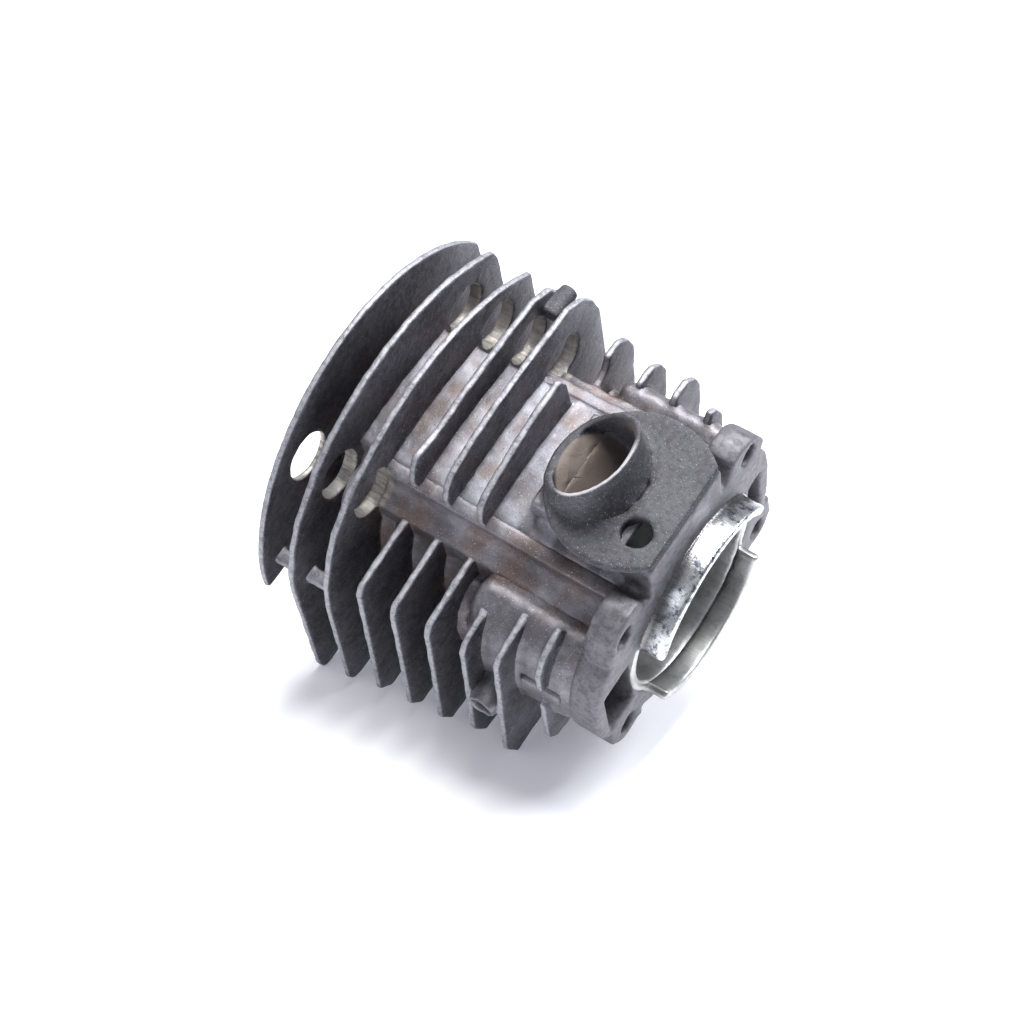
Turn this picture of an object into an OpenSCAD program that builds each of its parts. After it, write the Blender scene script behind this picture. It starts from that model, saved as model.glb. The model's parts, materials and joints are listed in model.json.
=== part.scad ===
// Air-cooled two-stroke cylinder with its head cast in one piece, 44 mm bore.
// Origin on the bore axis in the base gasket face. +Z points to the head,
// -Y to the intake side, +Y to the exhaust side.

/* [Bore] */
// Diameter of the plated bore
bore_d = 44; // [43:0.5:45]
// Wall of the bore liner
liner_wall = 2.3; // [2.2:0.1:2.4]
// Height of the straight bore above the gasket face
bore_h = 60; // [58:1:61]
// How far the skirt reaches below the gasket face
skirt_drop = 6; // [5:0.5:7]

/* [Barrel] */
// Outer radius of the barrel wall behind the fins
barrel_r = 27.6; // [27.4:0.1:27.8]
// Radius of the spark plug boss
plug_boss_r = 11; // [10.5:0.5:11.5]
// Wall radius of the spark plug thread, an M14 x 1.25
plug_thread_r = 6.35; // [6.3:0.05:6.4]

/* [Base] */
// Thickness of the base flange
flange_t = 7; // [6.5:0.5:8]
// Distance between the front base bolts
front_bolts_x = 48; // [47.5:0.5:48.5]
// Distance of the front base bolts from the bore axis
front_bolts_y = 24.9; // [24.5:0.1:25.2]
// Distance between the rear base bolts
rear_bolts_x = 55; // [54.5:0.5:55.5]
// Distance of the rear base bolts from the bore axis
rear_bolts_y = 17.5; // [17.3:0.1:18]
// Radius of a base bolt hole
bolt_hole_r = 2.75; // [2.6:0.05:2.9]

/* [Fins] */
// Distance from one fin to the next
fin_pitch = 8.62; // [8.5:0.02:8.7]
// Underside of the top fin above the gasket face
top_fin_z = 81; // [80.5:0.5:82]
// Thickness of a fin
fin_t = 1.8; // [1.6:0.1:2.2]
// Radius of the screwdriver holes through the upper fins
access_r = 5.7; // [5.5:0.1:5.8]

/* [Intake] */
// Outer radius of the intake stub
stub_r = 11.2; // [11:0.1:11.4]
// Bore radius of the intake stub
stub_bore_r = 9.5; // [9:0.1:9.8]
// Tilt of the stub towards the head
stub_tilt = 37; // [35:1:39]
// Front face of the intake flange, in front of the bore axis
intake_face_y = 38; // [37.6:0.2:38.4]
// Radius of the impulse hole
impulse_r = 3.3; // [3:0.1:3.5]

/* [Exhaust] */
// Exhaust gasket face, behind the bore axis
exhaust_face_y = 37; // [36.5:0.5:38]
// Distance between the exhaust screws
exhaust_screws_x = 46; // [45:0.5:47]
// Wall radius of an exhaust screw hole, an M5 thread
exhaust_screw_r = 2.1; // [2.05:0.05:2.2]

/* [Hidden] */
$fn = 96;
// Lets a cut run a little past the face it ends on
eps = 0.05;
// Longer than any piece
far = 80;

bore_r = bore_d / 2;
liner_r = bore_r + liner_wall;
front_bolt = [front_bolts_x / 2, -front_bolts_y];
rear_bolt = [rear_bolts_x / 2, rear_bolts_y];
driver_r = 4.9;
rear_driver_r = 4.4;
rear_lobe_r = 5.6;
crown_r = 20;
head_top = top_fin_z - fin_pitch;
plug_seat_z = top_fin_z;
dome_h = 7;
plug_boss_z = 66;

// Ports in the bore: [centre height, height, width]
intake_port = [11, 12, 22];
exhaust_port = [31, 13, 26];
transfer_port = [31, 8, 16];

// Inside of the transfer passages: [inner x, outer x, low y, high y]
left_passage = [-33.5, -24.2, -10.5, 8.5];
right_passage = [24.2, 29, -9, 6];
passage_top = 36;
bulge_z = 34;
bulge_top = 42;

// Outer wall of the casting round each transfer passage, in plan
left_bulge = [
  [-24, -21], [-27.4, -21.6], [-30, -20.2], [-32.8, -18], [-35.4, -14.2],
  [-37, -9], [-37.6, -3], [-37.4, 3], [-36.4, 7.4], [-34.6, 10.6], [-32, 12], [-24, 12]
];
left_cap = [
  [-24, -14], [-29, -14], [-33, -10], [-34.6, -4], [-34.4, 3], [-32, 8], [-24, 10]
];
right_bulge = [
  [24, -21], [27.4, -21.6], [29.6, -19], [31.6, -14], [32.6, -7],
  [32.4, 4], [31, 10], [24, 12]
];
right_cap = [[24, -14], [28, -13], [31, -7], [31, 4], [28, 9], [24, 10]];

bulges = [left_bulge, right_bulge];
caps = [left_cap, right_cap];

// Block behind each screwdriver channel, in plan, left side
column_block = [
  [-24, -12], [-24, -22], [-20, -24], [-19.4, -26.9], [-16, -27.5], [-16, -20], [-20, -18]
];

// Flat front of the barrel between the two blocks, in plan
valley_wall = [
  [-16, -20], [-16, -27.5], [-8, -28.3], [0, -28.6], [8, -28.3], [16, -27.5], [16, -20]
];

// Corner of the base flange round the left front bolt, in plan
front_lobe = [
  [-13, -24], [-16.4, -26.6], [-18, -30.6], [-21.8, -31.1], [-25.3, -30],
  [-28, -27], [-30.6, -21.6], [-26, -14]
];

// Hollow boss between the seventh and eighth fins, and the stop boss's radius
nipple_y = 4;
nipple_z = 25.84;
nipple_r = 3.4;
stop_r = 2.2;

plate_r = 18;
plate_z = 13;
impulse_x = -7.9;
impulse_z = 6.9;
plate_foot_z = 0.4;
plate_t = 2.4;
duct_half_w = 13.5;
neck_y = -intake_face_y + plate_t;

// Centre of the intake mouth, and of the stub's root in the flange
mouth_y = 44.4;
mouth_z = 21.4;
stub_root_z = 22.2;
stub_root_r = 12.2;
// Keeps the straight part of the stub just inside its hole in the flange
foot_gap = 0.03;
neck_z = 20;
neck_r = 12;

function fin_z(k) = top_fin_z - fin_pitch * (k - 1);

// ---- helpers -------------------------------------------------------------

module at_height(z, t) {
  translate([0, 0, z])
    linear_extrude(height = t)
      children();
}

module both_sides() {
  children();
  mirror([1, 0, 0])
    children();
}

// A circle at each base bolt
module bolt_circles(front_r, rear_r) {
  both_sides() {
    translate(front_bolt)
      circle(r = front_r);
    translate(rear_bolt)
      circle(r = rear_r);
  }
}

// The intake mouth's own frame: z runs out of the mouth
module at_mouth() {
  translate([0, -mouth_y, mouth_z])
    rotate([90 - stub_tilt, 0, 0])
      children();
}

// A round bar along Y, from y0 to y1
module bar_y(x, z, y0, y1, r) {
  translate([x, y0, z])
    rotate([-90, 0, 0])
      cylinder(h = y1 - y0, r = r);
}

// Tilted at the mouth and square to the flange at the root
module stub_shape(mouth_r, root_r, past = 0) {
  intersection() {
    at_mouth()
      translate([0, 0, -far])
        cylinder(h = far + past, r = mouth_r);
    bar_y(0, stub_root_z, -far, -intake_face_y + 3, root_r);
  }
}

// A sector of a ring, from angle a0 to a1
module ring_sector(r_in, r_out, a0, a1) {
  mid = (a0 + a1) / 2;
  half = (a1 - a0) / 2;
  reach = 2 * r_out;
  difference() {
    circle(r = r_out);
    circle(r = r_in);
    rotate(mid)
      polygon([
        [0, 0], [reach * cos(half), reach * sin(half)], [-reach, reach],
        [-reach, -reach], [reach * cos(half), -reach * sin(half)]
      ]);
  }
}

// A port cut through the wall on one side: angle 0 is +X
module port(p, angle, from, to) {
  rotate([0, 0, angle])
    translate([from, -p[2] / 2, p[0] - p[1] / 2])
      cube([to - from, p[2], p[1]]);
}

module all_ports(from, to) {
  port(intake_port, -90, from, to);
  port(exhaust_port, 90, from, to);
  port(transfer_port, 180, from, to);
  port(transfer_port, 0, from, to);
}

// The inside of a transfer passage, which runs down to the gasket face
module passage(p) {
  translate([p[0], p[2], -1])
    cube([p[1] - p[0], p[3] - p[2], passage_top + 1]);
}

module passages() {
  passage(left_passage);
  passage(right_passage);
}

// ---- bore ----------------------------------------------------------------

module cylinder_liner() {
  color("#8f8d8a")
    difference() {
      cylinder(h = bore_h, r = liner_r);
      translate([0, 0, -1])
        cylinder(h = bore_h + 2, r = bore_r);
      all_ports(bore_r - 2, far);
    }
}

// Front half of the skirt, which the piston's intake side runs in
module skirt_front() {
  color("#b9bab5")
    at_height(-skirt_drop, skirt_drop)
      ring_sector(bore_r, liner_r, -150, -30);
}

module skirt_rear() {
  color("#6f7472")
    at_height(-skirt_drop + 0.8, skirt_drop - 0.8)
      ring_sector(bore_r, liner_r, 32, 148);
}

module barrel() {
  color("#6c6a70")
    difference() {
      translate([0, 0, flange_t])
        cylinder(h = bore_h - flange_t, r = barrel_r);
      translate([0, 0, flange_t - 1])
        cylinder(h = bore_h, r = liner_r);
      all_ports(bore_r - 2, far);
      passages();
      at_height(flange_t - 1, bore_h)
        bolt_circles(driver_r, rear_driver_r);
    }
}

// Flat front of the barrel behind the short front fins
module intake_wall() {
  color("#96949b")
    difference() {
      at_height(flange_t, fin_z(2) - flange_t)
        polygon(valley_wall);
      translate([0, 0, flange_t - 1])
        cylinder(h = far, r = barrel_r);
      intake_passage();
    }
}

// ---- base flange ---------------------------------------------------------

module base_outline() {
  circle(r = 29.5);
  polygon(left_bulge);
  polygon(right_bulge);
  both_sides() {
    polygon(front_lobe);
    translate(rear_bolt)
      circle(r = rear_lobe_r);
  }
  // Foot under the intake flange
  translate([-duct_half_w, -intake_face_y + plate_t])
    square([2 * duct_half_w, 12]);
  // Webs out to the rear bolts
  both_sides()
    polygon([[22, 8], [33, 10], [33.8, 18.5], [22, 23.6]]);
}

module base_flange() {
  color("#77757b")
    difference() {
      at_height(0, flange_t)
        base_outline();
      translate([0, 0, -1])
        cylinder(h = flange_t + 2, r = liner_r);
      passages();
      all_ports(bore_r - 2, intake_face_y - plate_t - 2);
      for (side = [-1, 1]) {
        translate([side * front_bolt[0], front_bolt[1], -1])
          cylinder(h = flange_t + 2, r = bolt_hole_r);
        translate([side * rear_bolt[0], rear_bolt[1], -1])
          cylinder(h = flange_t + 2, r = bolt_hole_r);
      }
      intake_passage();
      impulse_hole();
    }
}

// ---- head ----------------------------------------------------------------

module head_dome() {
  sphere_r = (bore_r * bore_r + dome_h * dome_h) / (2 * dome_h);
  color("#5f5e64")
    difference() {
      translate([0, 0, bore_h])
        cylinder(h = head_top - bore_h, r = barrel_r);
      intersection() {
        translate([0, 0, bore_h + dome_h - sphere_r])
          sphere(r = sphere_r);
        translate([0, 0, bore_h - eps])
          cylinder(h = 2 * dome_h, r = bore_r);
      }
      translate([0, 0, plug_boss_z])
        cylinder(h = far, r = plug_boss_r);
      translate([0, 0, bore_h])
        cylinder(h = far, r = plug_thread_r);
      at_height(bore_h - 1, far)
        bolt_circles(access_r, rear_driver_r);
    }
}

module plug_boss() {
  color("#66656a")
    difference() {
      translate([0, 0, plug_boss_z])
        cylinder(h = plug_seat_z - plug_boss_z, r = plug_boss_r);
      translate([0, 0, plug_boss_z - 1])
        cylinder(h = far, r = plug_thread_r);
    }
}

// ---- transfer passages ---------------------------------------------------

module transfer_wall(bulge, cap) {
  difference() {
    union() {
      at_height(flange_t, bulge_z - flange_t)
        polygon(bulge);
      at_height(bulge_z, bulge_top - bulge_z)
        polygon(cap);
    }
    translate([0, 0, flange_t - 1])
      cylinder(h = bulge_top, r = barrel_r);
    passages();
    at_height(flange_t - 1, bulge_top) {
      bolt_circles(driver_r, rear_driver_r);
      both_sides()
        polygon(column_block);
    }
  }
}

module transfer_left() {
  color("#6f6d73")
    difference() {
      transfer_wall(left_bulge, left_cap);
      hose_hole();
    }
}

module transfer_right() {
  color("#6f6d73")
    transfer_wall(right_bulge, right_cap);
}

// ---- blocks behind the screwdriver channels ------------------------------

module column(z_top) {
  difference() {
    at_height(flange_t, z_top - flange_t)
      polygon(column_block);
    translate([0, 0, flange_t - 1])
      cylinder(h = far, r = barrel_r);
    at_height(flange_t - 1, far)
      bolt_circles(driver_r, rear_driver_r);
  }
}

module column_left() {
  color("#8b8990")
    column(fin_z(3));
}

module column_right() {
  color("#827f86")
    mirror([1, 0, 0])
      column(fin_z(5));
}

// ---- intake --------------------------------------------------------------

module stub_bore() {
  stub_shape(stub_bore_r, stub_root_r - stub_r + stub_bore_r, 1);
}

// From the mouth down to the port in the bore
module intake_passage() {
  stub_bore();
  bar_y(0, neck_z, neck_y - 0.4, 5 - intake_face_y + plate_t, neck_r - 2);
  translate([-intake_port[2] / 2, neck_y, intake_port[0] - intake_port[1] / 2])
    cube([intake_port[2], intake_face_y, intake_port[1]]);
}

// Neck between the barrel and the intake flange
module intake_duct() {
  color("#7b7980")
    difference() {
      union() {
        translate([-duct_half_w, neck_y, flange_t])
          cube([2 * duct_half_w, 8, neck_z - flange_t]);
        bar_y(0, neck_z, neck_y, neck_y + 8, neck_r);
      }
      at_height(0, far)
        polygon(valley_wall);
      intake_passage();
      impulse_hole();
    }
}

module impulse_hole() {
  bar_y(impulse_x, impulse_z, -intake_face_y - 1, 5 - intake_face_y, impulse_r);
}

module intake_flange() {
  color("#6a696f")
    difference() {
      intersection() {
        bar_y(0, plate_z, -intake_face_y, neck_y, plate_r);
        translate([-far, -far, plate_foot_z])
          cube([2 * far, 2 * far, far]);
      }
      stub_shape(stub_r, stub_root_r);
      impulse_hole();
    }
}

// The stub's outline at the flange face, run straight along Y, so that
// nothing of the stub leans over the face
module foot_prism() {
  foot_z = mouth_z - (mouth_y - intake_face_y) * tan(stub_tilt);
  foot_r = stub_r - foot_gap;
  rotate([90, 0, 0])
    linear_extrude(height = far)
      polygon([
        for (a = [0:3:357])
          [foot_r * cos(a), foot_z + foot_r / cos(stub_tilt) * sin(a)]
      ]);
}

module intake_stub() {
  color("#5b5a60")
    difference() {
      intersection() {
        stub_shape(stub_r, stub_root_r);
        foot_prism();
      }
      stub_bore();
      translate([-far, neck_y, -far])
        cube([2 * far, 2 * far, 2 * far]);
    }
}

// ---- exhaust -------------------------------------------------------------

module exhaust_passage() {
  port(exhaust_port, 90, bore_r - 2, far);
}

module exhaust_duct() {
  color("#67666c")
    difference() {
      translate([-17, 15, exhaust_port[0] - 11])
        cube([34, exhaust_face_y - 4 - 15, 22]);
      translate([0, 0, flange_t - 1])
        cylinder(h = bore_h, r = barrel_r);
      exhaust_passage();
    }
}

module exhaust_flange() {
  color("#6d6b72")
    difference() {
      translate([-29, exhaust_face_y - 4, exhaust_port[0] - 12])
        cube([58, 4, 24]);
      exhaust_passage();
      for (side = [-1, 1])
        translate([side * exhaust_screws_x / 2, exhaust_face_y - 6, exhaust_port[0]])
          rotate([-90, 0, 0])
            cylinder(h = 8, r = exhaust_screw_r);
    }
}

// ---- fins ----------------------------------------------------------------

// What stands inside the fins at every height
module core_plan() {
  circle(r = barrel_r);
  polygon(valley_wall);
  both_sides()
    polygon(column_block);
  bolt_circles(driver_r, rear_driver_r);
}

// Front edge as an arc, the sides as straight runs
module upper_fin_plan(arc_r, arc_c, left, right_x, rear_y) {
  intersection() {
    translate(arc_c)
      circle(r = arc_r);
    polygon(concat(
      left,
      [[right_x, rear_y], [right_x, -27], [right_x - 1, -30.5], [right_x - 3, -34],
       [right_x - 6, -far], [-26, -far], [-29, -34]]
    ));
  }
}

// Half ring that carries the top fin on the intake side of the plug
module head_crown() {
  foot = fin_z(2) + fin_t;
  color("#5f5e64")
    at_height(foot, top_fin_z - foot)
      difference() {
        circle(r = crown_r);
        circle(r = plug_boss_r);
        translate([-far, 0])
          square(2 * far);
      }
}

module fin_1() {
  color("#55545a")
    at_height(fin_z(1), fin_t)
      difference() {
        intersection() {
          translate([0, 2.9])
            circle(r = 47.9);
          translate([-far, -far])
            square([far + 41, far]);
        }
        circle(r = plug_boss_r + 4);
        // The top fin has a hole on the left only
        translate([-front_bolt[0], front_bolt[1]])
          circle(r = access_r);
      }
}

module fin_2() {
  color("#55545a")
    at_height(fin_z(2), fin_t)
      difference() {
        upper_fin_plan(58, [1, 15.5],
          [[-38.4, -25.8], [-42.6, -19.6], [-46, -11.6], [-47, -7], [-50.3, 29.5],
           [-49.6, 33], [-47.5, 34]], 37.6, 34);
        circle(r = plug_boss_r);
        bolt_circles(access_r, rear_driver_r);
      }
}

module fin_3() {
  color("#55545a")
    at_height(fin_z(3), fin_t)
      difference() {
        upper_fin_plan(58, [1, 17.8],
          [[-35.4, -28.4], [-40.5, -20.8], [-44.4, -12.8], [-46.2, -4], [-49.6, 28.5],
           [-48.6, 31], [-46.4, 32]], 38, 32);
        circle(r = barrel_r);
        polygon(valley_wall);
        bolt_circles(access_r, rear_driver_r);
      }
}

// Left half of a lower fin: front edge from the column out to the corner
module left_fin_plan(front_in, corner, side_rear, rear) {
  polygon([
    [-18, -16], [-24, front_in], corner, [corner[0] - 1.6, corner[1] + 2.6],
    side_rear, rear, [-18, rear[1]]
  ]);
}

// A fin that stops at the transfer walls, which are as wide as the shapes given
module lower_fin(k, walls = []) {
  at_height(fin_z(k), fin_t)
    difference() {
      children();
      for (wall = walls)
        polygon(wall);
      core_plan();
    }
}

// Right side of a lower fin behind its front edge
module right_side(front_y, side_x) {
  polygon([
    [24, -12], [24, front_y], [side_x - 4.8, front_y + 0.6], [side_x - 1.9, front_y + 3.8],
    [side_x - 0.2, front_y + 8.4], [side_x - 1.8, 4], [side_x - 2.6, 30], [side_x - 6, 33],
    [18, 33], [18, 20]
  ]);
}

module fin_4_left() {
  color("#4e4d53")
    lower_fin(4)
      left_fin_plan(-20.2, [-41.4, -18.4], [-48.4, 26.5], [-45.5, 31]);
}

module fin_4_right() {
  color("#4e4d53")
    lower_fin(4)
      front_and_right_plan(-36, -36, 38.5, 1);
}

module fin_5_left() {
  color("#4e4d53")
    lower_fin(5)
      left_fin_plan(-20.4, [-41.2, -18], [-47.8, 26], [-45, 31]);
}

module fin_5_right() {
  color("#4e4d53")
    lower_fin(5)
      front_and_right_plan(-35.5, -38.6, 39, 0);
}

// Fins 4 and 5 run from the left column past the valley to the right side
module front_and_right_plan(left_y, front_y, side_x, trim) {
  difference() {
    polygon([
      [-18.6, -24], [-19.2, -30], [-18, left_y + 2.2], [-15.8, left_y],
      [-8, front_y + 1], [2, front_y], [14, front_y],
      [29 - trim, front_y + 0.5], [34, front_y + 3.5], [side_x - 2, front_y + 8],
      [side_x, front_y + 14], [side_x, 30], [side_x - 4, 33], [-18, 33], [-18, 0]
    ]);
    bolt_circles(access_r, rear_driver_r);
  }
}

module fin_6_left() {
  color("#4e4d53")
    lower_fin(6, caps)
      left_fin_plan(-20.6, [-40.8, -17.6], [-47.2, 24], [-44.6, 30]);
}

module fin_6_front() {
  color("#4e4d53")
    lower_fin(6, caps)
      polygon([
        [-18.6, -24], [-19.2, -30], [-18, -33.4], [-15.8, -35.4], [-7, -37.6],
        [0.5, -39], [6, -39.6], [12.5, -39.6], [14.5, -36], [14.5, -22]
      ]);
}

module fin_6_right() {
  color("#4e4d53")
    lower_fin(6, caps)
      right_side(-25.4, 38.8);
}

module fin_7_left() {
  color("#4e4d53")
    lower_fin(7, bulges)
      left_fin_plan(-21, [-40.2, -17], [-46, 22], [-43, 29]);
}

module fin_7_right() {
  color("#4e4d53")
    lower_fin(7, bulges)
      right_side(-22.4, 38.4);
}

module fin_8_left() {
  color("#4e4d53")
    lower_fin(8, bulges)
      left_fin_plan(-22, [-39.8, -19.4], [-46, 22.5], [-43.3, 30]);
}

module fin_8_right() {
  color("#4e4d53")
    lower_fin(8, bulges)
      right_side(-23.4, 38.7);
}

module fin_9_left() {
  color("#4e4d53")
    lower_fin(9, bulges)
      difference() {
        polygon([
          [-18, -16], [-24, -24.4], [-31, -24], [-36, -21.7], [-38.6, -17],
          [-39.4, -4], [-40.4, 15], [-38, 19.5], [-28, 20.5], [-20, 14]
        ]);
        // Room for the blank pad
        translate([-far, -10.2])
          square([far, 7.6]);
      }
}

module fin_9_right() {
  color("#4e4d53")
    lower_fin(9, bulges)
      polygon([
        [24, -12], [24, -24], [29, -24], [31.4, -22.2], [33.4, -17.6],
        [34, 8], [30, 14], [20, 12]
      ]);
}

// ---- small cast features -------------------------------------------------

// Damping webs that tie the ends of the upper fins together
module fin_webs() {
  web_h = fin_pitch - fin_t;
  color("#5a595f")
    for (k = [2, 3])
      at_height(fin_z(k) + fin_t, web_h)
        translate([-43, -7.5])
          square([3.4, 3]);
}

// Stop for the starter side cover, under the fourth fin's right end
module stop_boss() {
  color("#77767c")
    translate([29.2, -29.6, fin_z(4) - stop_r])
      rotate([0, 90, 0])
        cylinder(h = 8, r = stop_r);
}

// Short hollow boss on the left side, between the seventh and eighth fin
module bar_x(x0, x1, r) {
  translate([x0, nipple_y, nipple_z])
    rotate([0, 90, 0])
      cylinder(h = x1 - x0, r = r);
}

module hose_hole() {
  bar_x(-48, -34, 2);
}

module hose_nipple() {
  color("#66656b")
    difference() {
      bar_x(-45.4, -36, nipple_r);
      hose_hole();
      at_height(0, bulge_top)
        polygon(left_bulge);
    }
}

// Raised oblong pad on the left transfer wall, left blank
module blank_pad() {
  color("#7a787e")
    difference() {
      translate([-38.5, -9.4, 8.8])
        cube([3, 5, 10]);
      at_height(0, bulge_top)
        polygon(left_bulge);
    }
}

cylinder_liner();
skirt_front();
skirt_rear();
barrel();
intake_wall();
base_flange();
head_dome();
head_crown();
plug_boss();
transfer_left();
transfer_right();
column_left();
column_right();
intake_duct();
intake_flange();
intake_stub();
exhaust_duct();
exhaust_flange();
fin_1();
fin_2();
fin_3();
fin_4_left();
fin_4_right();
fin_5_left();
fin_5_right();
fin_6_left();
fin_6_front();
fin_6_right();
fin_7_left();
fin_7_right();
fin_8_left();
fin_8_right();
fin_9_left();
fin_9_right();
fin_webs();
stop_boss();
hose_nipple();
blank_pad();
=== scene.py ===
"""Looks of the air-cooled cylinder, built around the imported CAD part."""

import json
import math

import bpy
import numpy as np
import openvdb as vdb
from mathutils import Matrix, Vector

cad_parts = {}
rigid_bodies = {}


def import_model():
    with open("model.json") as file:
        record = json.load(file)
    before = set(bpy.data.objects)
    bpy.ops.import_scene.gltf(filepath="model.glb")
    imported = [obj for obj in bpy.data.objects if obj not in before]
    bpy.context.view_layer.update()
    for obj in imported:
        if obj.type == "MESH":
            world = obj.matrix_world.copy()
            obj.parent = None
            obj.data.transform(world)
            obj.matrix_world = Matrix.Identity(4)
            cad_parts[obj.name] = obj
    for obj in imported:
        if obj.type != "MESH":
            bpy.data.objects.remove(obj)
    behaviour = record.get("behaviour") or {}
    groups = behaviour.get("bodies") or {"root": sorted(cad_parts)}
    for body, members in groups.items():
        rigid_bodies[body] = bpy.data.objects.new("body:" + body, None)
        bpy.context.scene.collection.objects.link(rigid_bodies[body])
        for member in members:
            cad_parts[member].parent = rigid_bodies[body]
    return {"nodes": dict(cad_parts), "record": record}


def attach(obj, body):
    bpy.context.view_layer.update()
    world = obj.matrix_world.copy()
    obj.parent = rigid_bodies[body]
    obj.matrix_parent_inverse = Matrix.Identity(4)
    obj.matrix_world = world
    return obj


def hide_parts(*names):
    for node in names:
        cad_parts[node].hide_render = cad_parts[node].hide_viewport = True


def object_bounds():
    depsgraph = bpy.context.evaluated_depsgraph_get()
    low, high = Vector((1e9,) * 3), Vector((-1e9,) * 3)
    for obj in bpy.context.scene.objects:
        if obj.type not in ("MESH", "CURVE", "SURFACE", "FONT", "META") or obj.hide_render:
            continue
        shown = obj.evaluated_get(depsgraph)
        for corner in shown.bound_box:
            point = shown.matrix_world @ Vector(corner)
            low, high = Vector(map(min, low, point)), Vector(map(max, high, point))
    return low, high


for old in list(bpy.data.objects):
    bpy.data.objects.remove(old)
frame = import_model()
box_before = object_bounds()

VOXEL = 0.4  # mm
BAND = 9.0  # half width of each distance field, in voxels
PAD = 6  # voxels of air round the part
OVERLAP = 0.5  # mm that a piece reaches into its neighbour deep below the surface
SEAM = 0.1  # mm that it does at the surface
SEAM_DEPTH = 1.2  # mm below the surface where the full overlap is reached

# ---- distance fields of the CAD nodes, in mm -----------------------------

nodes = frame["nodes"]
lo, hi = (np.array(v) * 1000 for v in box_before)
origin = np.floor(lo / VOXEL).astype(int) - PAD
shape = tuple(np.ceil(hi / VOXEL).astype(int) - origin + PAD)
axes = [((np.arange(n) + o) * VOXEL).astype(np.float32) for n, o in zip(shape, origin)]
X, Y, Z = np.meshgrid(*axes, indexing="ij", sparse=True)


def field_of(ob):
    """Signed distance to one closed CAD node on the shared grid."""
    mesh = ob.data
    mesh.calc_loop_triangles()
    co = np.empty(len(mesh.vertices) * 3, np.float32)
    mesh.vertices.foreach_get("co", co)
    m = np.array(ob.matrix_world, np.float32)
    co = (co.reshape(-1, 3) @ m[:3, :3].T + m[:3, 3]) * 1000
    tri = np.empty(len(mesh.loop_triangles) * 3, np.int32)
    mesh.loop_triangles.foreach_get("vertices", tri)
    grid = vdb.FloatGrid.createLevelSetFromPolygons(
        np.ascontiguousarray(co, np.float32),
        triangles=tri.reshape(-1, 3).astype(np.uint32),
        transform=vdb.createLinearTransform(voxelSize=VOXEL),
        halfWidth=BAND,
    )
    out = np.empty(shape, np.float32)
    grid.copyToArray(out, ijk=tuple(int(v) for v in origin))
    return out


def smooth(a, sigma):
    """Gaussian smoothing along the three axes; sigma in mm."""
    s = sigma / VOXEL
    n = int(math.ceil(2.6 * s))
    k = np.exp(-0.5 * (np.arange(-n, n + 1) / s) ** 2).astype(np.float32)
    k /= k.sum()
    for axis in range(3):
        moved = np.ascontiguousarray(np.moveaxis(a, axis, 0))
        wide = np.concatenate([moved[:1]] * n + [moved] + [moved[-1:]] * n)
        out = np.zeros_like(moved)
        for i, w in enumerate(k):
            out += w * wide[i : i + moved.shape[0]]
        a = np.moveaxis(out, 0, axis)
    return np.ascontiguousarray(a)


def smooth_min(a, b, r):
    """Union whose inner corner is filled out to about r."""
    h = np.maximum(r - np.abs(a - b), 0) / r
    return np.minimum(a, b) - h * h * r * 0.25


# ---- shapes that the looks add to the CAD's ------------------------------

MOUTH = (-44.4, 21.4)
TILT = math.radians(37)


def tube(rx, rz, flare):
    """A tube along Y round the intake's middle that widens towards its root."""
    t = np.clip((Y + 50) / 12, 0, 1) ** 3
    wide, tall = rx + flare * t, rz + flare * 1.3 * t
    return (np.sqrt((X / wide) ** 2 + ((Z - MOUTH[1]) / tall) ** 2) - 1) * tall


def mouth_plane():
    """Distance in front of the plane that the mouth lies in."""
    return -(Y - MOUTH[0]) * math.cos(TILT) + (Z - MOUTH[1]) * math.sin(TILT)


def stub_field():
    outer = np.maximum(tube(11.2, 8.95, 1.0), Y + 35.6)
    return np.maximum(outer, mouth_plane())


def passage():
    """The hollow from the mouth down to the port."""
    tube_part = np.maximum(tube(9.6, 7.7, 0.6), Y + 30)
    roof = (Z - 29.5) + (Y + 39) * 1.15
    bend = np.maximum(tube_part, roof / 1.52)
    box = np.maximum(np.abs(X) - 10.6, np.maximum(np.abs(Z - 11) - 5.8, np.abs(Y + 26) - 8))
    return smooth_min(bend, box, 3.0)


PITCH = 8.62
FIN_MIDDLE = 12.94
FIN_TOP = {2: 74.18, 3: 65.56, 4: 56.94, 5: 48.32}
DRIVER = (24.0, -24.9)
DRIVER_R = 5.7
COLLARS = {"fin_2": 2, "fin_3": 3, "fin_4_right": 4, "fin_5_right": 5}


def collar(k):
    """The fin is thicker round its driver holes; the collar tapers into its upper face."""
    across = np.abs(X) if k in (2, 3) else X
    away = np.sqrt((across - DRIVER[0]) ** 2 + (Y - DRIVER[1]) ** 2)
    height = Z - FIN_TOP[k]
    band = np.maximum(height - 1.7, -1.0 - height)
    return np.maximum(np.maximum(away - (8.6 - 1.2 * height), band), DRIVER_R - away)


def hose_bore():
    """Hollow of the small boss on the left side."""
    return np.maximum(np.sqrt((Y - 4) ** 2 + (Z - 25.84) ** 2) - 2.5, X + 38)


ROUNDED = {"transfer_left": 1.5, "transfer_right": 1.4, "blank_pad": 0.35}


def shaped(name):
    d = field_of(nodes[name])
    if name in ROUNDED:
        d = smooth(d, ROUNDED[name]) - (0.25 if name != "blank_pad" else 0)
    if name == "intake_stub":
        d = stub_field()
    if name in COLLARS:
        d = np.minimum(d, collar(COLLARS[name]))
    if name == "intake_duct":
        block = np.maximum(np.abs(Z - 19) - 12, np.abs(Y + 32) - 3.6)
        block = np.maximum(np.abs(X) - 13, block)
        d = np.minimum(d, block + 0.8)
    return d


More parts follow.
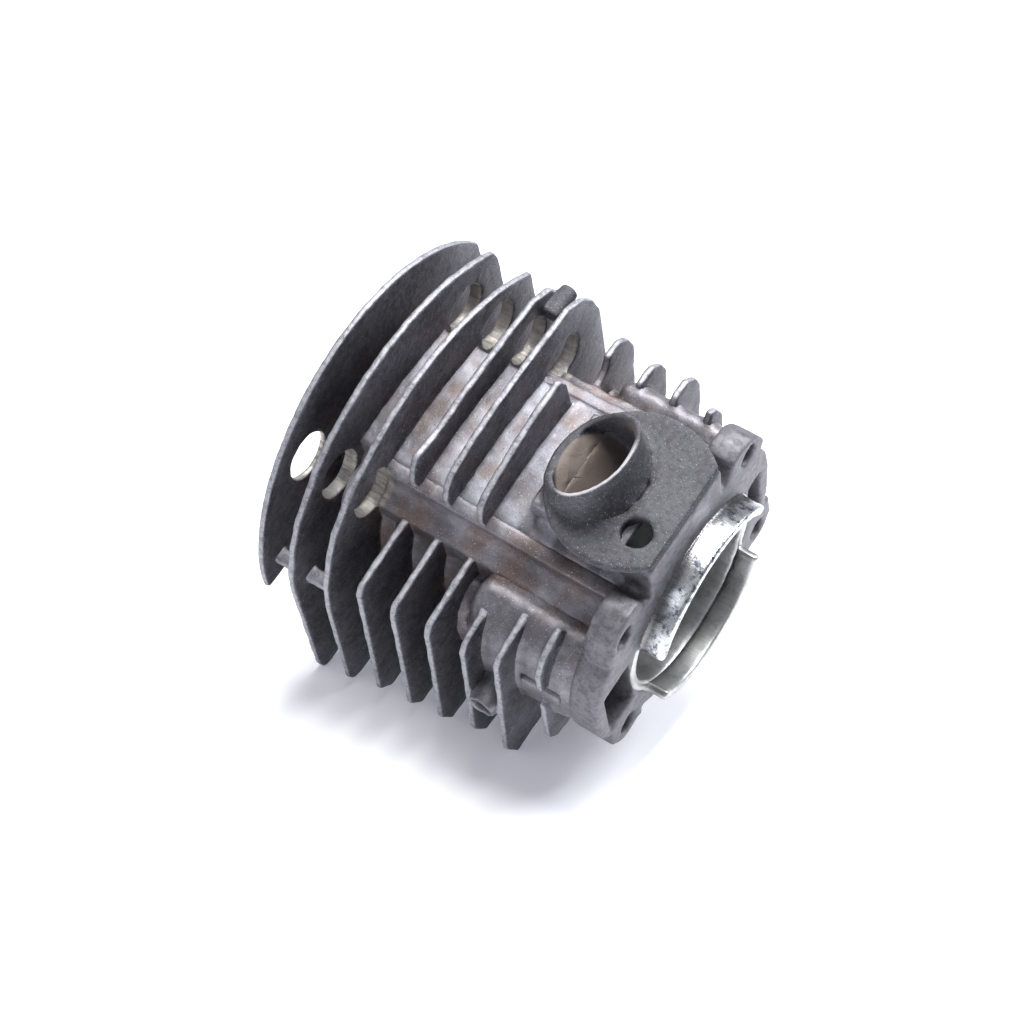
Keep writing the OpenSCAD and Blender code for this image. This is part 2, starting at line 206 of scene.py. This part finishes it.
print("scene: fields", shape, flush=True)
names = sorted(nodes)
best = np.full(shape, BAND * VOXEL, np.float32)
second = best.copy()
owner = np.full(shape, -1, np.int16)
for i, name in enumerate(names):
    d = shaped(name)
    closer = d < best
    second = np.where(closer, best, np.minimum(second, d))
    owner[closer] = i
    np.minimum(best, d, out=best)

# Fillets in the inner corners, then slightly rounded edges and a cast surface
filled = smooth(best, 1.15) + 0.07
solid = np.minimum(best, filled)
solid = np.maximum(solid, -passage())
solid = np.maximum(solid, -hose_bore())
solid = smooth(solid, 0.38)

radius = np.sqrt(X**2 + Y**2)
cast = np.clip((radius - 26) / 2, 0, 1) * np.clip((Z - 1) / 2, 0, 1)
waves = (
    np.sin(0.71 * X + 0.39 * Z + 1.3) * np.sin(0.63 * Y - 0.55 * Z)
    + 0.6 * np.sin(1.7 * X - 1.1 * Y + 0.4) * np.sin(1.3 * Z + 0.9 * Y + 2.0)
)
solid += 0.055 * waves * cast
for axis, (a, b) in enumerate(zip(lo, hi)):
    span = axes[axis].reshape([-1 if k == axis else 1 for k in range(3)])
    solid = np.maximum(solid, np.maximum(a + 0.02 - span, span - b + 0.02))
solid = solid.astype(np.float32)
print("scene: solid", flush=True)


def mesh_of(name, index):
    """One closed piece: the part of the solid that lies round one CAD node."""
    d = shaped(name)
    other = np.where(owner == index, second, best)
    near = np.argwhere(np.minimum(d, other + 9) < 2.4)
    a, b = near.min(0) - 2, near.max(0) + 3
    a, b = np.maximum(a, 0), np.minimum(b, shape)
    cut = tuple(slice(p, q) for p, q in zip(a, b))
    depth = np.clip(-solid[cut] / SEAM_DEPTH, 0, 1)
    region = (d[cut] - other[cut]) * 0.5 - OVERLAP * depth - SEAM
    piece = np.maximum(solid[cut], region).astype(np.float32)
    piece = np.pad(piece, 1, constant_values=1.0)
    grid = vdb.FloatGrid(BAND * VOXEL)
    grid.copyFromArray(np.ascontiguousarray(piece), ijk=tuple(int(v) - 1 for v in a + origin))
    points, tris, quads = grid.convertToPolygons(isovalue=0.0, adaptivity=0.012)
    points = np.array(points, np.float64) * VOXEL
    faces = [tuple(f[::-1]) for f in quads.tolist()] + [tuple(f[::-1]) for f in tris.tolist()]
    mesh = bpy.data.meshes.new(name)
    mesh.from_pydata((points / 1000).tolist(), [], faces)
    mesh.validate()
    mesh.shade_smooth()
    return mesh


# ---- materials -----------------------------------------------------------


class Nodes:
    """Short names for building one material's nodes."""

    def __init__(self, name):
        self.material = bpy.data.materials.new(name)
        self.material.use_nodes = True
        self.tree = self.material.node_tree
        self.shader = next(n for n in self.tree.nodes if n.type == "BSDF_PRINCIPLED")
        texture = self.add("ShaderNodeTexCoord")
        where = texture.outputs["Object"]
        scale = self.add("ShaderNodeVectorMath", operation="SCALE")
        scale.inputs["Scale"].default_value = 1000
        self.link(where, scale.inputs[0])
        self.place = scale.outputs[0]  # mm in the shared frame
        xyz = self.add("ShaderNodeSeparateXYZ")
        self.link(self.place, xyz.inputs[0])
        self.x, self.y, self.z = xyz.outputs
        normal = self.add("ShaderNodeSeparateXYZ")
        self.link(texture.outputs["Normal"], normal.inputs[0])
        self.facing_z = normal.outputs[2]

    def add(self, kind, **settings):
        node = self.tree.nodes.new(kind)
        for key, value in settings.items():
            setattr(node, key, value)
        return node

    def link(self, a, b):
        self.tree.links.new(a, b)

    def math(self, op, a, b=None, c=None):
        node = self.add("ShaderNodeMath", operation=op)
        for k, v in enumerate((a, b, c)):
            if v is None:
                continue
            if isinstance(v, (int, float)):
                node.inputs[k].default_value = v
            else:
                self.link(v, node.inputs[k])
        return node.outputs[0]

    def step(self, value, a, b, lo=0.0, hi=1.0):
        """Runs smoothly from lo at a to hi at b."""
        node = self.add("ShaderNodeMapRange", interpolation_type="SMOOTHSTEP")
        self.link(value, node.inputs["Value"])
        for key, v in zip(("From Min", "From Max", "To Min", "To Max"), (a, b, lo, hi)):
            node.inputs[key].default_value = v
        return node.outputs[0]

    def noise(self, scale, detail=2.0, rough=0.5, stretch=None, seed=0.0):
        """Noise with its features about 1 / scale mm wide."""
        place = self.place
        if stretch or seed:
            mapping = self.add("ShaderNodeMapping")
            mapping.inputs["Scale"].default_value = stretch or (1, 1, 1)
            mapping.inputs["Location"].default_value = (seed, seed * 1.7, -seed)
            self.link(place, mapping.inputs["Vector"])
            place = mapping.outputs[0]
        node = self.add("ShaderNodeTexNoise")
        node.inputs["Scale"].default_value = scale
        node.inputs["Detail"].default_value = detail
        node.inputs["Roughness"].default_value = rough
        self.link(place, node.inputs["Vector"])
        return node.outputs["Fac"]

    def mix(self, amount, a, b):
        node = self.add("ShaderNodeMix", data_type="RGBA")
        for key, v in ((0, amount), (6, a), (7, b)):
            if isinstance(v, tuple):
                node.inputs[key].default_value = (*v, 1)
            elif isinstance(v, (int, float)):
                node.inputs[key].default_value = v
            else:
                self.link(v, node.inputs[key])
        return node.outputs[2]

    def distance(self, cx, cy):
        """Distance from the two upright lines at x = cx and -cx, y = cy."""
        dx = self.math("SUBTRACT", self.math("ABSOLUTE", self.x), cx)
        dy = self.math("SUBTRACT", self.y, cy)
        squares = self.math("ADD", self.math("MULTIPLY", dx, dx), self.math("MULTIPLY", dy, dy))
        return self.math("SQRT", squares)

    def radius(self):
        return self.distance(0.0, 0.0)

    def bump(self, *layers):
        """Fine relief; each layer is (height, depth in mm)."""
        normal = None
        for height, depth in layers:
            node = self.add("ShaderNodeBump")
            node.inputs["Strength"].default_value = 1.0
            node.inputs["Distance"].default_value = depth / 1000
            self.link(height, node.inputs["Height"])
            if normal is not None:
                self.link(normal, node.inputs["Normal"])
            normal = node.outputs[0]
        self.link(normal, self.shader.inputs["Normal"])

    def finish(self, colour, rough, metallic):
        self.link(colour, self.shader.inputs["Base Color"])
        self.link(rough, self.shader.inputs["Roughness"])
        self.shader.inputs["Metallic"].default_value = metallic
        return self.material


def cast_metal(
    name, dark, light, stain_and_shade=0.5, gloss=0.46, metal=0.6, worn_and_lit_edge_amount=0.6, spread=0.5, relief=0.2
):
    """Shot-blasted die casting: edges lighter from wear and painted highlight, brown stain with
    painted shade near the barrel, cut hole walls, a painted highlight on the mouth's lower
    edge.
    """
    n = Nodes(name)
    broad = n.noise(0.09, 3, 0.6)
    patch = n.noise(0.55, 3, 0.55, seed=3.1)
    grain = n.noise(3.0, 2, 0.7)
    mottle = n.math("MULTIPLY", broad, 1 - spread)
    mottle = n.math("ADD", mottle, n.math("MULTIPLY", patch, spread))
    colour = n.mix(n.step(mottle, 0.36, 0.64), dark, light)
    # Brown near the barrel: partly stain, partly painted shade in the recessed valleys between
    # the fins
    near = n.step(n.radius(), 40, 29)
    brown_stain_shade = n.math("MULTIPLY", near, n.step(n.noise(0.12, 4, 0.6, seed=7.7), 0.42, 0.68))
    colour = n.mix(n.math("MULTIPLY", brown_stain_shade, stain_and_shade), colour, (0.145, 0.095, 0.075))
    if name == "wall":
        # Painted shade: the wall darkens to the fins' colour at the fin roots
        phase = n.math("PINGPONG", n.math("SUBTRACT", n.z, FIN_MIDDLE), PITCH / 2)
        valley = n.step(n.math("ABSOLUTE", n.x), 18, 16)
        root = n.math("MULTIPLY", n.step(phase, 2.3, 0.9), valley)
        colour = n.mix(n.math("MULTIPLY", root, 0.85), colour, (0.1, 0.098, 0.113))
    # Upright faces of the fins made lighter: partly wear, partly a painted highlight where the
    # fin edges face the light
    upright = n.step(n.math("ABSOLUTE", n.facing_z), 0.93, 0.45)
    worn_and_lit_edge = n.math("MULTIPLY", upright, n.step(n.radius(), 29, 32))
    uneven = n.step(n.noise(0.8, 3, 0.6, seed=4.0), 0.3, 0.6, 0.45, 1.0)
    worn_and_lit_edge = n.math("MULTIPLY", worn_and_lit_edge, uneven)
    colour = n.mix(n.math("MULTIPLY", worn_and_lit_edge, worn_and_lit_edge_amount), colour, (0.52, 0.52, 0.56))
    dots = n.step(grain, 0.63, 0.7)
    colour = n.mix(n.math("MULTIPLY", dots, 0.6), colour, (0.6, 0.6, 0.65))
    pits = n.step(n.noise(2.1, 2, 0.6, seed=11.0), 0.37, 0.31)
    colour = n.mix(n.math("MULTIPLY", pits, 0.5), colour, (0.02, 0.02, 0.024))
    # Walls of the driver holes, which go through fewer fins on the right
    wall = n.step(n.distance(DRIVER[0], DRIVER[1]), 6.15, 5.95)
    left = n.math("MULTIPLY", n.step(n.x, 0, -1), n.step(n.z, 61, 63))
    heights = n.math("MULTIPLY", n.step(n.z, 44, 45), n.step(n.z, 79, 78))
    right = n.math("MULTIPLY", n.step(n.x, 0, 1), heights)
    cut = n.math("MULTIPLY", wall, n.math("MAXIMUM", left, right))
    streaks = n.noise(1.2, 4, 0.7, stretch=(1, 1, 0.12), seed=6.0)
    cut = n.math("MULTIPLY", cut, n.step(streaks, 0.38, 0.6, 0.35, 1.0))
    colour = n.mix(cut, colour, (0.5, 0.475, 0.43))
    rough = n.math("ADD", n.math("MULTIPLY", patch, 0.22), gloss)
    rough = n.math("SUBTRACT", rough, n.math("MULTIPLY", cut, 0.12))
    # Inside of the intake stub, and a painted highlight along the lower edge of its mouth
    tall = n.math("SUBTRACT", n.z, MOUTH[1])
    from_axis = n.math("MULTIPLY", n.math("MULTIPLY", tall, tall), 1.55)
    from_axis = n.math("SQRT", n.math("MULTIPLY_ADD", n.x, n.x, from_axis))
    inside = n.math("MULTIPLY", n.step(from_axis, 10.0, 9.4), n.step(n.y, -28, -32))
    colour = n.mix(n.math("MULTIPLY", inside, 0.8), colour, (0.25, 0.205, 0.175))
    # Painted highlight: only the lower side of the mouth's edge is made light
    out = n.math("MULTIPLY", n.math("ADD", n.y, -MOUTH[0]), -math.cos(TILT))
    out = n.math("MULTIPLY_ADD", tall, math.sin(TILT), out)
    low = n.math("MULTIPLY_ADD", n.x, 0.75, tall)
    rim = n.math("MULTIPLY", n.step(out, -0.7, -0.4), n.step(low, -2, -9))
    rim = n.math("MULTIPLY", rim, n.step(from_axis, 10.9, 10.4))
    colour = n.mix(n.math("MULTIPLY", rim, 0.8), colour, (0.6, 0.6, 0.62))
    n.bump((n.noise(0.5, 3, 0.6, seed=5.0), relief), (grain, 0.06))
    return n.finish(colour, rough, metal)


def machined(
    name, base, blotch, gloss, blotches, size=0.32, stretch=(0.3, 0.3, 0.3), metal=1.0
):
    """Turned or milled metal with dark blotches and fine lines."""
    n = Nodes(name)
    spots = n.step(n.noise(size, 5, 0.75, seed=2.0), 0.48, 0.6)
    fine = n.noise(1.6, 3, 0.7, stretch=stretch, seed=9.0)
    colour = n.mix(n.math("MULTIPLY", spots, blotches), base, blotch)
    if name == "skirt":
        # Darker towards the flange
        colour = n.mix(n.step(n.z, -3.2, -1.2), colour, (0.16, 0.155, 0.16))
    colour = n.mix(n.step(fine, 0.35, 0.7, 0.0, 0.4), colour, tuple(0.55 * v for v in base))
    rough = n.math("ADD", n.math("MULTIPLY", fine, 0.25), gloss)
    n.bump((fine, 0.02), (n.noise(0.35, 2, 0.5), 0.06))
    return n.finish(colour, rough, metal)


AXIAL = (2.0, 2.0, 0.08)
looks = {
    "cast_fin": cast_metal("cast_fin", (0.052, 0.051, 0.061), (0.125, 0.122, 0.142), stain_and_shade=0.5),
    "cast_body": cast_metal(
        "cast_body", (0.12, 0.115, 0.128), (0.26, 0.255, 0.28), 0.75, 0.42, 0.75, 0.0, 0.25, 0.1
    ),
    # Valley wall: a lighter, bluish copy of the casting's colour, painted light where the key
    # light reaches the valley
    "wall": cast_metal(
        "wall", (0.17, 0.17, 0.19), (0.34, 0.34, 0.38), 0.65, 0.42, 0.7, 0.0, 0.12, 0.06
    ),
    # Duct, head and bosses: a darker copy of the casting's colour, partly the matte dark
    # finish, partly painted shade against the key light on the upward-facing flange
    "shaded_cast_duct": cast_metal(
        "shaded_cast_duct", (0.02, 0.02, 0.025), (0.052, 0.052, 0.062), 0.25, 0.66, 0.3, 0.12, 0.5
    ),
    "machined_face": machined(
        "machined_face", (0.17, 0.166, 0.184), (0.07, 0.064, 0.072), 0.46, 0.6, 0.5, metal=0.6
    ),
    "cast_inside": machined(
        "cast_inside", (0.42, 0.43, 0.42), (0.2, 0.2, 0.19), 0.3, 0.35, 0.2, AXIAL
    ),
    "plated_bore": machined(
        "plated_bore", (0.5, 0.51, 0.5), (0.24, 0.25, 0.25), 0.26, 0.5, 0.2, AXIAL
    ),
    "skirt": machined(
        "skirt", (0.7, 0.72, 0.73), (0.03, 0.045, 0.085), 0.14, 0.9, 0.5, (1.6, 1.6, 0.3)
    ),
}

SLOTS = {p["node"]: p["material_slot"] for p in frame["record"]["subparts"]}
LOOK_OF = {
    "skirt_front": "skirt",
    "skirt_rear": "plated_bore",
    "intake_flange": "shaded_cast_duct",
    "intake_stub": "shaded_cast_duct",
    "exhaust_duct": "shaded_cast_duct",
    "head_crown": "shaded_cast_duct",
    "plug_boss": "shaded_cast_duct",
    "stop_boss": "shaded_cast_duct",
    "intake_wall": "wall",
}

for i, name in enumerate(names):
    mesh = mesh_of(name, i)
    slot = SLOTS[name]
    mesh.materials.append(looks[LOOK_OF.get(name, slot)])
    piece = bpy.data.objects.new("v_" + name, mesh)
    bpy.context.scene.collection.objects.link(piece)
    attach(piece, "root")
    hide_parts(name)
print("scene: pieces", flush=True)

# ---- floor, light and camera ---------------------------------------------

# The part lies on its exhaust side: on the rear tips of its left fins and on the exhaust flange
UP = Vector((0.428, -0.904, 0.098)).normalized()
turn = UP.to_track_quat("Z", "Y")
centre = Vector((0, -0.005, 0.038))
rest_at = -0.0437


def white(name, strength):
    material = bpy.data.materials.new(name)
    material.use_nodes = True
    tree = material.node_tree
    shader = next(n for n in tree.nodes if n.type == "BSDF_PRINCIPLED")
    shader.inputs["Base Color"].default_value = (0.93, 0.93, 0.95, 1)
    shader.inputs["Roughness"].default_value = 0.9
    shader.inputs["Emission Color"].default_value = (0.88, 0.9, 1, 1)
    shader.inputs["Emission Strength"].default_value = strength
    side = tree.nodes.new("ShaderNodeNewGeometry")
    clear = tree.nodes.new("ShaderNodeBsdfTransparent")
    mix = tree.nodes.new("ShaderNodeMixShader")
    out = next(n for n in tree.nodes if n.type == "OUTPUT_MATERIAL")
    tree.links.new(side.outputs["Backfacing"], mix.inputs[0])
    tree.links.new(shader.outputs[0], mix.inputs[1])
    tree.links.new(clear.outputs[0], mix.inputs[2])
    tree.links.new(mix.outputs[0], out.inputs["Surface"])
    return material


bpy.ops.mesh.primitive_plane_add(size=6)
floor = bpy.context.object
floor.name = "floor"
floor.rotation_mode = "QUATERNION"
floor.rotation_quaternion = turn
floor.location = UP * rest_at
floor.data.materials.append(white("floor", 0.2))

world = bpy.data.worlds.new("studio")
bpy.context.scene.world = world
world.use_nodes = True
sky = next(n for n in world.node_tree.nodes if n.type == "BACKGROUND")
sky.inputs["Color"].default_value = (0.9, 0.92, 1, 1)
sky.inputs["Strength"].default_value = 0.36

SIDE = Vector((0.555, 0.113, -0.824)).normalized()  # right in the picture
DOWN = Vector((-0.774, 0.433, -0.461)).normalized()
AHEAD = SIDE.cross(DOWN).normalized()


def lamp(name, offset, size, power, colour=(1, 1, 1)):
    light = bpy.data.lights.new(name, "AREA")
    light.shape = "RECTANGLE"
    light.size, light.size_y = size
    light.energy = power
    light.color = colour
    ob = bpy.data.objects.new(name, light)
    bpy.context.scene.collection.objects.link(ob)
    ob.location = centre + offset
    ob.rotation_mode = "QUATERNION"
    ob.rotation_quaternion = (-offset).to_track_quat("-Z", "Y")


lamp("key", UP * 0.66 + SIDE * 0.06 - DOWN * 0.14, (0.45, 0.4), 10.8, (1, 0.99, 0.98))
lamp("fill", -AHEAD * 0.5 - SIDE * 0.5 + UP * 0.1, (0.35, 0.35), 0.7, (0.93, 0.95, 1))
lamp("rim", UP * 0.3 + SIDE * 0.65 - DOWN * 0.35, (0.3, 0.3), 6.5, (0.93, 0.95, 1))

eye = bpy.data.cameras.new("camera")
camera = bpy.data.objects.new("camera", eye)
bpy.context.scene.collection.objects.link(camera)
frame_axes = Matrix((SIDE, -AHEAD.cross(SIDE), -AHEAD)).transposed()
camera.rotation_mode = "QUATERNION"
camera.rotation_quaternion = frame_axes.to_quaternion()
camera.location = (-0.13235, -0.37655, -0.09336)
eye.sensor_width = 36
eye.lens = 66.05
eye.clip_start = 0.01
bpy.context.scene.camera = camera
bpy.context.scene.view_settings.view_transform = "Standard"
